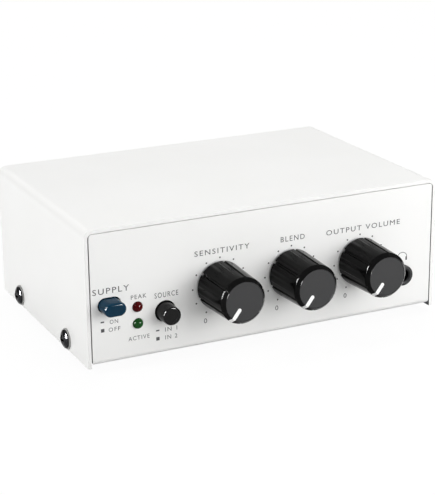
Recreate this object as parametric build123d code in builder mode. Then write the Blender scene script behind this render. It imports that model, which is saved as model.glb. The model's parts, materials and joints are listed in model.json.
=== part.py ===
from build123d import *
from math import cos, radians, sin
import os

# Desktop phono preamplifier: a folded white steel case with three knobs, two push buttons,
# two lamps and a headphone socket in front, and cable sockets and an earth post behind.
# Millimetres. X runs to the right seen from the front, Y runs to the rear, Z is up.
# The origin is under the middle of the whole part, on the surface that its feet stand on.

os.makedirs("parts", exist_ok=True)

# ---------------------------------------------------------------- fits
running_fit = 0.05        # radial, round a shaft that turns or a plunger that slides
seat_fit = 0.05           # round a piece that is pushed into its seat
thread_fit = 0.05         # radial, between screw and thread, whose flanks are left out
screw_fit = 0.2           # radial, round a screw in a plain hole
panel_fit = 0.3           # round a control or socket that comes through the sheet

# ---------------------------------------------------------------- case
sheet = 1.0               # steel sheet of the tray and the cover
seam = 0.3                # gap between the tray and the cover
panel_height = 36.9       # front and rear panels of the tray
case_depth = 72.0         # front face to rear face
cover_drop = 0.8          # the cover's sides reach this far below the tray
cover_bend = 1.4          # inside radius of the cover's long bends
tray_bend = 0.4           # inside radius of the tray's bends
panel_corner = 0.9        # rounded corners of the panels
flange_height = 8.6       # side flanges of the tray, which take the cover's screws
relief = 1.3              # slots at the ends of the flanges, so that the sheet can be bent
foot_height = 2.5
foot_radius = 4.0
foot_edge = 0.6           # bevelled lower edge of a foot
foot_inset = 13.0         # middle of a foot, in from the sides and ends of the case

# ---------------------------------------------------------------- panel layout, left to right
power_margin = 5.3        # left edge of the panel to the power button
lamp_step = 8.05          # power button to the lamps
selector_step = 8.15      # lamps to the selector button
knob_step = 16.5          # selector button to the first knob
knob_pitch = 22.2
phones_step = 14.6        # last knob to the headphone socket
phones_margin = 9.4       # headphone socket to the right edge of the panel

# ---------------------------------------------------------------- board
standoff_height = 4.8
board_thickness = 1.6
board_gap = 0.8           # board to panels and flanges
board_hole_inset = 6.6    # board screws, in from the sides of the board
board_hole_front = 21.0   # front board screws, behind the front edge of the board
board_hole_rear = 21.0    # rear board screws, ahead of the rear edge of the board

# Heights of the controls above the board's upper face
knob_rise = 9.7
power_rise = 9.3
selector_rise = 4.8
phones_rise = 2.6
lamp_rise = 2.6           # lower lamp
lamp_pitch = 4.8          # lower lamp to upper lamp

# ---------------------------------------------------------------- knobs
knob_names = ["input", "mix", "output"]
knob_radius = 6.6         # at the shoulder, where the tapered side ends
knob_skirt_radius = 7.1
knob_height = 15.1
knob_gap = 0.4            # skirt to panel
knob_face_radius = 5.6
knob_shoulder = 1.2       # depth of the bevel from the side to the face
knob_skirt_edge = 0.35    # bevelled edge at the skirt
knob_wall = 1.0
knob_top = 2.2            # thickness behind the face
knob_hub_radius = 4.1
knob_rib = 0.9
knob_ribs = 4
groove_count = 6
groove_radius = 0.42
groove_stand = 0.12       # middle of a groove, outside the knob's side at the shoulder
pointer_width = 1.1
pointer_inner = 2.6       # middle of the rounded inner end
pointer_turn = -143.0     # degrees clockwise from the top: just above the low end of the scale

# ---------------------------------------------------------------- potentiometers
shaft_radius = 3.0
shaft_flat = 1.5          # depth of the flat on the shaft
shaft_tip_gap = 0.5       # shaft end to the bottom of the knob's bore
shaft_inside = 2.6        # shaft behind the panel's inner face
bushing_radius = 3.5
bushing_length = 5.2      # from the panel's inner face
pot_radius = 5.6
pot_depth = 5.6
wafer_thickness = 1.3
wafer_inset = 0.5
pot_washer_radius = 5.0
pot_washer = 0.5
pot_nut_flats = 9.0
pot_nut = 2.0

# ---------------------------------------------------------------- push buttons
button_travel = 2.2
button_proud = 4.9        # cap in front of the panel, released
cap_inside = 0.8          # cap behind the panel's inner face, released
plunger_size = 2.5
plunger_in_cap = 3.6
plunger_in_switch = 4.4
plunger_play = 0.1        # plunger to the sides of its hole in the switch
switch_gap = 0.3          # pressed cap to switch, and pressed plunger to the hole's end
switch_edge = 0.3         # bevels along the top of a switch
power_cap_length = 6.2
power_cap_height = 3.8
power_cap_edge = 0.75
power_switch_width = 7.0
power_switch_depth = 13.0
power_switch_top = 3.6    # above the button's axis
selector_cap_radius = 2.8  # at its inner end
selector_face_radius = 2.6
selector_cap_edge = 0.4
selector_switch_width = 8.0
selector_switch_depth = 11.0
selector_switch_top = 3.4

# ---------------------------------------------------------------- lamps
lamp_radius = 1.5
lamp_proud = 1.3
lamp_length = 5.3
lamp_flange_radius = 1.9
lamp_flange = 1.0
holder_width = 5.4
holder_depth = 4.5
holder_gap = 1.0          # holder to the panel's inner face
holder_top = 2.6          # above the upper lamp's axis
lead_size = 0.5
lead_pitch = 1.27         # from the lamp's axis to each lead
lead_reach = 0.9          # lower lamp's leads behind the holder
lead_step = 1.6           # upper lamp's leads behind the lower lamp's

# ---------------------------------------------------------------- headphone socket
phones_collar_radius = 3.05
phones_proud = 1.2
phones_bore_radius = 1.8
phones_mouth = 0.9        # countersink of the mouth
phones_edge = 0.1         # bevel of the collar
phones_body_width = 6.6
phones_body_depth = 12.0
phones_body_top = 2.6     # above the socket's axis
phones_bore_depth = 11.0

# ---------------------------------------------------------------- rear sockets
rca_pitch = 13.2          # lower to upper socket of a pair
rca_rise = 5.6            # lower socket above the board
rca_reach = 8.4           # shell behind the rear panel
rca_shell_radius = 4.15
rca_shell_wall = 0.45
rca_shell_gap = 0.2       # rear panel to the shell, which is pushed on to its insulator
rca_recess = 0.7          # insulator inside the shell's mouth
rca_contact_radius = 2.1
rca_bore_radius = 1.65
rca_contact_recess = 0.8
rca_seat = 3.2            # insulator inside the block
rca_block_width = 10.6
rca_block_depth = 11.0
rca_block_top = 5.0       # above the upper socket's axis
rca_edge = 0.4            # bevel of the block
rca_mouth_edge = 0.15     # bevels of the shell's mouth
usb_width = 12.0
usb_height = 10.9
usb_depth = 16.2
usb_shell = 0.5
usb_proud = 0.4
usb_port_width = 8.45
usb_port_height = 7.8
usb_port_bevel = 1.6
usb_port_depth = 8.9
usb_tongue_width = 5.6
usb_tongue_height = 3.2
dc_width = 9.0
dc_height = 10.6
dc_depth = 13.4
dc_rise = 6.3
dc_collar_radius = 4.1
dc_bore_radius = 3.15
dc_bore_depth = 9.6
dc_pin_radius = 1.05
dc_pin_recess = 1.2
dc_pin_edge = 0.5

# Places of the rear sockets, measured from the middle of the case, and of the post
phono_x = 24.5
output_x = 8.0
usb_x = -12.0
dc_x = -30.5
earth_margin = 12.7       # earth post to the panel's right edge, seen from the front

# ---------------------------------------------------------------- earth post
post_radius = 2.0
post_head_radius = 3.6
post_head = 2.2
post_rise = 13.0          # above the board
lock_nut_flats = 7.0
lock_nut = 2.2
earth_washer_radius = 4.4
earth_washer = 0.6
thumb_nut_radius = 4.6
thumb_nut_length = 3.6
thumb_neck_radius = 3.3
thumb_neck_length = 1.6
thumb_edge = 0.4
knurl_count = 24
knurl_radius = 0.35
thumb_gap = 0.1           # between the washer and its neighbours
thumb_travel = 2.1        # three turns of a 0.7 mm thread
post_end = 0.5            # post beyond the thumb nut when it is fully undone
post_chamfer = 0.4

# ---------------------------------------------------------------- screws
cover_screw_inset = 16.3  # from the front and rear faces
cover_screw_rise = 3.3    # above the cover's lower edge
screw_radius = 1.5
screw_head_radius = 2.65
screw_head = 1.35
screw_dome = 0.45         # crown of the head
cover_screw_length = 4.6
cover_washer_radius = 3.0
cover_washer = 0.4
cross_width = 0.75
cross_length = 2.9
cross_depth = 0.8
standoff_flats = 5.5
standoff_spigot_radius = 2.0
board_screw_length = 5.0

# ---------------------------------------------------------------- board components
capacitor_radius = 3.15
capacitor_height = 11.0
capacitor_edge = 0.35
capacitor_pitch = 8.4
capacitor_rows = 2
capacitor_columns = 4
capacitor_margin = 25.4   # right edge of the board to the middle of the capacitors
chip_width = 6.4
chip_length = 9.6
chip_height = 3.3
chip_notch = 0.7
chip_pitch = 12.5
chip_count = 2
chip_margin = 13.4        # left edge of the board to the middle of the chips
codec_width = 7.0
codec_thickness = 1.5
codec_x = -17.0
crystal_length = 11.0
crystal_width = 4.6
crystal_height = 3.6
crystal_edge = 0.5
crystal_x = -3.0

# ================================================================ worked-out places
tray_width = (power_margin + lamp_step + selector_step + knob_step
              + (len(knob_names) - 1) * knob_pitch + phones_step + phones_margin)
case_width = tray_width + 2 * (seam + sheet)
tray_under = foot_height
floor_top = tray_under + sheet
tray_top = tray_under + panel_height
cover_edge = tray_under - cover_drop
cover_top = tray_top + seam + sheet
board_under = floor_top + standoff_height
board_top = board_under + board_thickness

thumb_reach = lock_nut + 2 * thumb_gap + earth_washer + thumb_nut_length + thumb_neck_length
rear_reach = thumb_reach + thumb_travel + post_end
knob_reach = knob_gap + knob_height
front = (knob_reach - case_depth - rear_reach) / 2
rear = front + case_depth
panel_inside = front + sheet
rear_inside = rear - sheet
middle = (front + rear) / 2

power_x = power_margin - tray_width / 2
lamp_x = power_x + lamp_step
selector_x = lamp_x + selector_step
knob_xs = [selector_x + knob_step + place * knob_pitch for place in range(len(knob_names))]
phones_x = knob_xs[-1] + phones_step
earth_x = tray_width / 2 - earth_margin

knob_z = board_top + knob_rise
power_z = board_top + power_rise
selector_z = board_top + selector_rise
phones_z = board_top + phones_rise
lamp_zs = [board_top + lamp_rise, board_top + lamp_rise + lamp_pitch]
rca_zs = [board_top + rca_rise, board_top + rca_rise + rca_pitch]
rca_places = [(x, z) for x in (phono_x, output_x) for z in rca_zs]
usb_z = board_top + usb_height / 2
dc_z = board_top + dc_rise
post_z = board_top + post_rise

switch_front = panel_inside + cap_inside + button_travel + switch_gap
holder_front = panel_inside + holder_gap
board_width = tray_width - 2 * (sheet + board_gap)
board_front = panel_inside + board_gap
board_rear = rear_inside - board_gap
screw_ys = [front + cover_screw_inset, rear - cover_screw_inset]
cover_screw_z = cover_edge + cover_screw_rise
board_screw_ys = [board_front + board_hole_front, board_rear - board_hole_rear]
board_screw_x = board_width / 2 - board_hole_inset
board_holes = [(x, y) for x in (-board_screw_x, board_screw_x) for y in board_screw_ys]
foot_x = case_width / 2 - foot_inset
foot_places = [(x, y) for x in (-foot_x, foot_x) for y in (front + foot_inset, rear - foot_inset)]


def facing_front(y):
    """Plane across the case at y, seen from the front: extrusions come forward."""
    return Plane.XZ.offset(-y)


def channel_section(width, height, bend):
    """Draws the section of a folded channel that stands on the sketch's X axis, open at the top."""
    tall = height + 2 * (bend + sheet)
    RectangleRounded(width, tall, bend + sheet, align=(Align.CENTER, Align.MIN))
    with Locations((0, sheet)):
        RectangleRounded(width - 2 * sheet, tall, bend, align=(Align.CENTER, Align.MIN),
                         mode=Mode.SUBTRACT)
    with Locations((0, height)):
        Rectangle(width, tall, align=(Align.CENTER, Align.MIN), mode=Mode.SUBTRACT)


def save(piece, name):
    """Labels a finished piece and writes its STEP file."""
    piece.part.label = name
    export_step(piece.part, f"parts/{name}.step")


# ================================================================ tray
flange_start = panel_inside + relief
flange_end = rear_inside - relief

with BuildPart() as tray:
    # Front panel, floor and rear panel are one strip, folded up at both ends.
    with BuildSketch(Plane(origin=(0, middle, tray_under), x_dir=(0, 1, 0), z_dir=(1, 0, 0))):
        channel_section(case_depth, panel_height, tray_bend)
    extrude(amount=tray_width / 2, both=True)
    with BuildSketch(facing_front(rear)):
        with Locations((0, tray_under + panel_height / 2)):
            RectangleRounded(tray_width, panel_height, panel_corner)
    extrude(amount=case_depth, mode=Mode.INTERSECT)
    # The floor is cut back at both sides, and the flanges are folded up from it.
    with BuildSketch(Plane.XY.offset(tray_under)):
        with Locations((0, middle)):
            Rectangle(tray_width, flange_end - flange_start + 2 * relief)
            Rectangle(tray_width - 2 * (tray_bend + sheet + relief), case_depth, mode=Mode.SUBTRACT)
    extrude(amount=sheet, mode=Mode.SUBTRACT)
    with BuildSketch(Plane(origin=(0, flange_end, tray_under), x_dir=(1, 0, 0), z_dir=(0, -1, 0))):
        channel_section(tray_width, flange_height, tray_bend)
    extrude(amount=flange_end - flange_start)
    # Holes in the front panel.
    with BuildSketch(facing_front(panel_inside)):
        with Locations(*[(x, knob_z) for x in knob_xs]):
            Circle(bushing_radius + thread_fit)
        with Locations((power_x, power_z)):
            SlotOverall(power_cap_length + 2 * panel_fit, power_cap_height + 2 * panel_fit)
        with Locations((selector_x, selector_z)):
            Circle(selector_cap_radius + panel_fit)
        with Locations(*[(lamp_x, z) for z in lamp_zs]):
            Circle(lamp_radius + seat_fit)
        with Locations((phones_x, phones_z)):
            Circle(phones_collar_radius + seat_fit)
    extrude(amount=sheet, mode=Mode.SUBTRACT)
    # Holes in the rear panel.
    with BuildSketch(facing_front(rear)):
        with Locations(*rca_places):
            Circle(rca_shell_radius + panel_fit)
        with Locations((usb_x, usb_z)):
            Rectangle(usb_width + 2 * panel_fit, usb_height + 2 * panel_fit)
        with Locations((dc_x, dc_z)):
            Circle(dc_collar_radius + panel_fit)
        with Locations((earth_x, post_z)):
            Circle(post_radius + screw_fit)
    extrude(amount=sheet, mode=Mode.SUBTRACT)
    # Threaded holes in the flanges, as deep as the screws reach, and seats for the standoffs.
    for side in (-1, 1):
        with BuildSketch(Plane.YZ.offset(side * tray_width / 2)):
            with Locations(*[(y, cover_screw_z) for y in screw_ys]):
                Circle(screw_radius + thread_fit)
        extrude(amount=-side * cover_screw_length, mode=Mode.SUBTRACT)
    with BuildSketch(Plane.XY.offset(tray_under)):
        with Locations(*board_holes):
            Circle(standoff_spigot_radius + seat_fit)
    extrude(amount=sheet, mode=Mode.SUBTRACT)
save(tray, "chassis_tray")

# ================================================================ cover
with BuildPart() as cover:
    # One sheet folded down at both sides: the same channel, upside down.
    with BuildSketch(Plane(origin=(0, front, cover_top), x_dir=(1, 0, 0), z_dir=(0, 1, 0))):
        channel_section(case_width, cover_top - cover_edge, cover_bend)
    extrude(amount=case_depth)
    with BuildSketch(Plane.YZ):
        with Locations(*[(y, cover_screw_z) for y in screw_ys]):
            Circle(screw_radius + screw_fit)
    extrude(amount=case_width / 2, both=True, mode=Mode.SUBTRACT)
save(cover, "top_cover")

# ================================================================ cover screws and washers
cover_screw_seat = case_width / 2 + cover_washer
screw_sides = [Plane(origin=(side * cover_screw_seat, y, cover_screw_z), x_dir=(0, side, 0),
                     z_dir=(side, 0, 0)) for side in (-1, 1) for y in screw_ys]
screw_crown_radius = (screw_head_radius ** 2 + screw_dome ** 2) / (2 * screw_dome)


def pan_head_screw(length):
    """A cross-head screw that points down, with the seat of its head at the origin."""
    with BuildPart() as screw:
        with BuildSketch(Plane.XZ):
            with BuildLine():
                body = Polyline((0, -length), (screw_radius, -length), (screw_radius, 0),
                                (screw_head_radius, 0),
                                (screw_head_radius, screw_head - screw_dome))
                crown = RadiusArc(body @ 1, (0, screw_head), -screw_crown_radius)
                Line(crown @ 1, body @ 0)
            make_face()
        revolve(axis=Axis.Z)
        with BuildSketch(Plane.XY.offset(screw_head - cross_depth)):
            Rectangle(cross_length, cross_width)
            Rectangle(cross_width, cross_length)
        extrude(amount=cross_depth, mode=Mode.SUBTRACT)
    return screw.part


cover_screw = pan_head_screw(cover_screw_length)
with BuildPart() as cover_screws:
    with Locations(*[seat.location for seat in screw_sides]):
        add(cover_screw)
save(cover_screws, "cover_screws")

with BuildPart() as cover_washers:
    for seat in screw_sides:
        with BuildSketch(seat.offset(-cover_washer)):
            Circle(cover_washer_radius)
            Circle(screw_radius + screw_fit, mode=Mode.SUBTRACT)
        extrude(amount=cover_washer)
save(cover_washers, "cover_washers")

# ================================================================ feet
with BuildPart() as feet:
    with BuildSketch(Plane.XY.offset(tray_under)):
        with Locations(*foot_places):
            Circle(foot_radius)
    extrude(amount=-foot_height)
    chamfer(feet.edges().group_by(Axis.Z)[0], foot_edge)
save(feet, "rubber_feet")

# ================================================================ board on its standoffs
with BuildPart() as standoffs:
    with BuildSketch(Plane.XY.offset(floor_top)):
        with Locations(*board_holes):
            RegularPolygon(standoff_flats / 2, 6, major_radius=False)
    extrude(amount=standoff_height)
    with BuildSketch(Plane.XY.offset(tray_under)):
        with Locations(*board_holes):
            Circle(standoff_spigot_radius)
    extrude(amount=sheet)
    with BuildSketch(Plane.XY.offset(tray_under)):
        with Locations(*board_holes):
            Circle(screw_radius + thread_fit)
    extrude(amount=sheet + standoff_height, mode=Mode.SUBTRACT)
save(standoffs, "board_standoffs")

with BuildPart() as board:
    with BuildSketch(Plane.XY.offset(board_under)):
        with Locations((0, middle)):
            Rectangle(board_width, board_rear - board_front)
        with Locations(*board_holes):
            Circle(screw_radius + screw_fit, mode=Mode.SUBTRACT)
    extrude(amount=board_thickness)
save(board, "circuit_board")

board_screw = pan_head_screw(board_screw_length)
with BuildPart() as board_screws:
    with Locations(*[(x, y, board_top) for x, y in board_holes]):
        add(board_screw)
save(board_screws, "board_screws")

# ================================================================ potentiometers and knobs
turn = radians(pointer_turn)
clock_x = (cos(turn), 0, -sin(turn))      # across the pointer
groove_step = 360 / groove_count
groove_run_out = knob_skirt_radius - knob_radius
rib_step = 360 / knob_ribs
hub_start = bushing_length - sheet + shaft_tip_gap
hub_end = knob_reach - knob_top
shaft_start = sheet + shaft_inside
shaft_end = hub_end - shaft_tip_gap
hollow_radius = knob_radius - knob_wall

for name, knob_x in zip(knob_names, knob_xs):
    dial = Plane(origin=(knob_x, front, knob_z), x_dir=clock_x, z_dir=(0, -1, 0))
    section = Plane(dial.origin, x_dir=dial.x_dir, z_dir=-dial.y_dir)
    spindle = Axis(dial.origin, dial.z_dir)
    upright = facing_front(panel_inside)

    with BuildPart() as pot_case:
        # Arch-topped metal can that stands on the board, with its threaded bushing.
        with BuildSketch(upright):
            with Locations((knob_x, knob_z)):
                Circle(pot_radius)
                Rectangle(2 * pot_radius, knob_rise, align=(Align.CENTER, Align.MAX))
        extrude(amount=-pot_depth)
        with BuildSketch(upright):
            with Locations((knob_x, knob_z)):
                Circle(bushing_radius)
        extrude(amount=bushing_length)
        with BuildSketch(dial.offset(-shaft_start)):
            Circle(shaft_radius + running_fit)
        extrude(amount=shaft_start + bushing_length, mode=Mode.SUBTRACT)
    save(pot_case, f"pot_case_{name}")

    with BuildPart() as shaft:
        with BuildSketch(dial.offset(-shaft_start)):
            Circle(shaft_radius)
        extrude(amount=shaft_start + shaft_end)
        with BuildSketch(dial.offset(hub_start - shaft_tip_gap)):
            with Locations((0, shaft_flat - shaft_radius)):
                Rectangle(2 * shaft_radius, shaft_radius, align=(Align.CENTER, Align.MAX))
        extrude(amount=shaft_end, mode=Mode.SUBTRACT)
    save(shaft, f"pot_shaft_{name}")

    with BuildPart() as knob:
        with BuildSketch(section):
            with BuildLine():
                Polyline((0, knob_gap), (knob_skirt_radius, knob_gap),
                         (knob_radius, knob_reach - knob_shoulder),
                         (knob_face_radius, knob_reach), (0, knob_reach), (0, knob_gap))
            make_face()
        revolve(axis=spindle)
        blank = knob.part
        # The skirt is hollow over the bushing's nut, round a hub that is carried by ribs.
        with BuildSketch(dial.offset(knob_gap)):
            Circle(hollow_radius)
        extrude(amount=hub_end - knob_gap, mode=Mode.SUBTRACT)
        with BuildSketch(dial.offset(hub_start)):
            Circle(knob_hub_radius)
            with PolarLocations(0, knob_ribs, start_angle=rib_step / 2):
                Rectangle(hollow_radius + knob_wall / 2, knob_rib, align=(Align.MIN, Align.CENTER))
        extrude(amount=hub_end - hub_start)
        with BuildSketch(dial.offset(hub_start)):
            Circle(shaft_radius + seat_fit)
            with Locations((0, shaft_flat - shaft_radius - seat_fit)):
                Rectangle(3 * shaft_radius, 2 * shaft_radius, align=(Align.CENTER, Align.MAX),
                          mode=Mode.SUBTRACT)
        extrude(amount=hub_end - hub_start, mode=Mode.SUBTRACT)
        chamfer(knob.edges().filter_by(GeomType.CIRCLE).group_by(Axis.Y)[-1].sort_by(SortBy.RADIUS)[-1],
                knob_skirt_edge)
        # Finger grooves straight down the tapered side, and the slot for the pointer's inlay.
        with BuildSketch(dial.offset(knob_gap)):
            with PolarLocations(knob_radius + groove_stand, groove_count,
                                start_angle=90 + groove_step / 2):
                Circle(groove_radius)
                Rectangle(groove_run_out, 2 * groove_radius, align=(Align.MIN, Align.CENTER))
        extrude(amount=knob_height, mode=Mode.SUBTRACT)
        with BuildSketch(dial.offset(knob_reach - knob_shoulder)) as pointer_slot:
            with Locations((0, pointer_inner)):
                Circle(pointer_width / 2)
                Rectangle(pointer_width, knob_radius, align=(Align.CENTER, Align.MIN))
        extrude(amount=knob_shoulder, mode=Mode.SUBTRACT)
    save(knob, f"knob_{name}")

    with BuildPart() as pointer:
        extrude(pointer_slot.sketch, amount=knob_shoulder)
        add(blank, mode=Mode.INTERSECT)
    save(pointer, f"pointer_{name}")

with BuildPart() as wafers:
    # Resistance wafers at the backs of the three cans.
    with BuildSketch(facing_front(panel_inside + pot_depth)):
        with Locations(*[(x, knob_z) for x in knob_xs]):
            Circle(pot_radius - wafer_inset)
            Rectangle(2 * (pot_radius - wafer_inset), knob_rise, align=(Align.CENTER, Align.MAX))
    extrude(amount=-wafer_thickness)
save(wafers, "pot_wafers")

with BuildPart() as pot_washers:
    with BuildSketch(facing_front(front)):
        with Locations(*[(x, knob_z) for x in knob_xs]):
            Circle(pot_washer_radius)
            Circle(bushing_radius + thread_fit, mode=Mode.SUBTRACT)
    extrude(amount=pot_washer)
save(pot_washers, "pot_washers")

with BuildPart() as pot_nuts:
    with BuildSketch(facing_front(front - pot_washer)):
        with Locations(*[(x, knob_z) for x in knob_xs]):
            RegularPolygon(pot_nut_flats / 2, 6, major_radius=False)
            Circle(bushing_radius + thread_fit, mode=Mode.SUBTRACT)
    extrude(amount=pot_nut)
save(pot_nuts, "pot_nuts")

# ================================================================ push buttons
plunger_front = panel_inside + cap_inside - plunger_in_cap
plunger_back = switch_front + plunger_in_switch
plunger_hole = plunger_in_switch + button_travel + switch_gap
cap_length = button_proud + sheet + cap_inside

for name, button_x, button_z, width, depth, top, rise in (
        ("power", power_x, power_z, power_switch_width, power_switch_depth,
         power_switch_top, power_rise),
        ("selector", selector_x, selector_z, selector_switch_width, selector_switch_depth,
         selector_switch_top, selector_rise)):
    with BuildPart() as switch:
        with BuildSketch(facing_front(switch_front)):
            with Locations((button_x, board_top)):
                Rectangle(width, rise + top, align=(Align.CENTER, Align.MIN))
        extrude(amount=-depth)
        chamfer(switch.edges().filter_by(Axis.Y).group_by(Axis.Z)[-1], switch_edge)
        with BuildSketch(facing_front(switch_front)):
            with Locations((button_x, button_z)):
                Rectangle(plunger_size + 2 * plunger_play, plunger_size + 2 * plunger_play)
        extrude(amount=-plunger_hole, mode=Mode.SUBTRACT)
    save(switch, f"{name}_switch")

    with BuildPart() as plunger:
        with BuildSketch(facing_front(plunger_back)):
            with Locations((button_x, button_z)):
                Rectangle(plunger_size, plunger_size)
        extrude(amount=plunger_back - plunger_front)
    save(plunger, f"{name}_plunger")

with BuildPart() as power_cap:
    with BuildSketch(facing_front(panel_inside + cap_inside)):
        with Locations((power_x, power_z)):
            SlotOverall(power_cap_length, power_cap_height)
    extrude(amount=cap_length)
    fillet(power_cap.faces().sort_by(Axis.Y)[0].edges(), power_cap_edge)
    with BuildSketch(facing_front(panel_inside + cap_inside)):
        with Locations((power_x, power_z)):
            Rectangle(plunger_size + 2 * seat_fit, plunger_size + 2 * seat_fit)
    extrude(amount=plunger_in_cap, mode=Mode.SUBTRACT)
save(power_cap, "power_button")

with BuildPart() as selector_cap:
    with BuildSketch(Plane(origin=(selector_x, panel_inside + cap_inside, selector_z),
                           x_dir=(1, 0, 0), z_dir=(0, 0, -1))):
        with BuildLine():
            Polyline((0, 0), (selector_cap_radius, 0),
                     (selector_face_radius, cap_length - selector_cap_edge),
                     (selector_face_radius - selector_cap_edge, cap_length), (0, cap_length), (0, 0))
        make_face()
    revolve(axis=Axis((selector_x, 0, selector_z), (0, -1, 0)))
    with BuildSketch(facing_front(panel_inside + cap_inside)):
        with Locations((selector_x, selector_z)):
            Rectangle(plunger_size + 2 * seat_fit, plunger_size + 2 * seat_fit)
    extrude(amount=plunger_in_cap, mode=Mode.SUBTRACT)
save(selector_cap, "selector_button")

# ================================================================ lamps
lamp_tip = front - lamp_proud
lamp_back = lamp_tip + lamp_length
flange_seat = lamp_back - lamp_flange
holder_back = holder_front + holder_depth

with BuildPart() as holder:
    with BuildSketch(facing_front(holder_front)):
        with Locations((lamp_x, board_top)):
            Rectangle(holder_width, lamp_rise + lamp_pitch + holder_top,
                      align=(Align.CENTER, Align.MIN))
    extrude(amount=-holder_depth)
    with BuildSketch(facing_front(holder_front)):
        with Locations(*[(lamp_x, z) for z in lamp_zs]):
            Circle(lamp_radius + seat_fit)
    extrude(amount=-holder_depth, mode=Mode.SUBTRACT)
    with BuildSketch(facing_front(holder_back)):
        with Locations(*[(lamp_x, z) for z in lamp_zs]):
            Circle(lamp_flange_radius + seat_fit)
    extrude(amount=holder_back - flange_seat, mode=Mode.SUBTRACT)
save(holder, "lamp_holder")

for name, lamp_z in (("signal", lamp_zs[0]), ("peak", lamp_zs[1])):
    with BuildPart() as lamp:
        with BuildSketch(facing_front(lamp_back)):
            with Locations((lamp_x, lamp_z)):
                Circle(lamp_flange_radius)
        extrude(amount=lamp_flange)
        with BuildSketch(facing_front(flange_seat)):
            with Locations((lamp_x, lamp_z)):
                Circle(lamp_radius)
        extrude(amount=lamp_length - lamp_flange - lamp_radius)
        with Locations((lamp_x, lamp_tip + lamp_radius, lamp_z)):
            Sphere(lamp_radius)
    save(lamp, f"{name}_lamp")

with BuildPart() as leads:
    # Two wires from the back of each lamp, bent down to the board.
    for lamp_z, bend_y in ((lamp_zs[0], holder_back + lead_reach),
                           (lamp_zs[1], holder_back + lead_reach + lead_step)):
        for lead_x in (lamp_x - lead_pitch, lamp_x + lead_pitch):
            with BuildSketch(facing_front(bend_y)):
                with Locations((lead_x, lamp_z)):
                    Rectangle(lead_size, lead_size)
            extrude(amount=bend_y - lamp_back)
            with BuildSketch(Plane.XY.offset(board_top)):
                with Locations((lead_x, bend_y)):
                    Rectangle(lead_size, lead_size)
            extrude(amount=lamp_z + lead_size / 2 - board_top)
save(leads, "lamp_leads")

# ================================================================ headphone socket
with BuildPart() as phones:
    with BuildSketch(facing_front(panel_inside)):
        with Locations((phones_x, board_top)):
            Rectangle(phones_body_width, phones_rise + phones_body_top,
                      align=(Align.CENTER, Align.MIN))
    extrude(amount=-phones_body_depth)
    with BuildSketch(facing_front(panel_inside)):
        with Locations((phones_x, phones_z)):
            Circle(phones_collar_radius)
    extrude(amount=sheet + phones_proud)
    with BuildSketch(facing_front(front - phones_proud)):
        with Locations((phones_x, phones_z)):
            Circle(phones_bore_radius)
    extrude(amount=-phones_bore_depth - sheet, mode=Mode.SUBTRACT)
    mouth = phones.faces().sort_by(Axis.Y)[0].edges().sort_by(SortBy.RADIUS)
    chamfer(mouth[0], phones_mouth)
    chamfer(phones.faces().sort_by(Axis.Y)[0].edges().sort_by(SortBy.RADIUS)[-1], phones_edge)
save(phones, "headphone_socket")

# ================================================================ phono sockets
rca_mouth = rear + rca_reach
rca_back = rear_inside - rca_seat
rca_shell_start = rear + rca_shell_gap
rca_insulator_radius = rca_shell_radius - rca_shell_wall - seat_fit

for name, block_x in (("phono", phono_x), ("output", output_x)):
    with BuildPart() as block:
        with BuildSketch(facing_front(rear_inside)):
            with Locations((block_x, board_top)):
                Rectangle(rca_block_width, rca_rise + rca_pitch + rca_block_top,
                          align=(Align.CENTER, Align.MIN))
        extrude(amount=rca_block_depth)
        with BuildSketch(facing_front(rear_inside)):
            with Locations(*[(block_x, z) for z in rca_zs]):
                Circle(rca_insulator_radius + seat_fit)
        extrude(amount=rca_seat, mode=Mode.SUBTRACT)
        chamfer(block.edges().filter_by(Axis.X).group_by(Axis.Z)[-1], rca_edge)
    save(block, f"{name}_block")

with BuildPart() as shells:
    # Drawn barrels, each pushed on to the insulator that comes through the panel.
    with BuildSketch(facing_front(rca_mouth)):
        with Locations(*rca_places):
            Circle(rca_shell_radius)
            Circle(rca_shell_radius - rca_shell_wall, mode=Mode.SUBTRACT)
    extrude(amount=rca_mouth - rca_shell_start)
    chamfer(shells.faces().group_by(Axis.Y)[-1].edges(), rca_mouth_edge)
save(shells, "rca_shells")

insulator_mouth = rca_mouth - rca_recess
for name, socket_z in (("right", rca_zs[0]), ("left", rca_zs[1])):
    with BuildPart() as insulators:
        with BuildSketch(facing_front(insulator_mouth)):
            with Locations(*[(x, socket_z) for x in (phono_x, output_x)]):
                Circle(rca_insulator_radius)
                Circle(rca_contact_radius + seat_fit, mode=Mode.SUBTRACT)
        extrude(amount=insulator_mouth - rca_back)
    save(insulators, f"rca_insulators_{name}")

contact_mouth = insulator_mouth - rca_contact_recess
with BuildPart() as contacts:
    with BuildSketch(facing_front(contact_mouth)):
        with Locations(*rca_places):
            Circle(rca_contact_radius)
            Circle(rca_bore_radius, mode=Mode.SUBTRACT)
    extrude(amount=contact_mouth - rca_back)
save(contacts, "rca_contacts")

# ================================================================ USB socket
usb_mouth = rear + usb_proud
with BuildPart() as usb_case:
    with BuildSketch(facing_front(usb_mouth)):
        with Locations((usb_x, usb_z)):
            Rectangle(usb_width, usb_height)
            Rectangle(usb_width - 2 * usb_shell, usb_height - 2 * usb_shell, mode=Mode.SUBTRACT)
    extrude(amount=usb_depth)
save(usb_case, "usb_shell")

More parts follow.
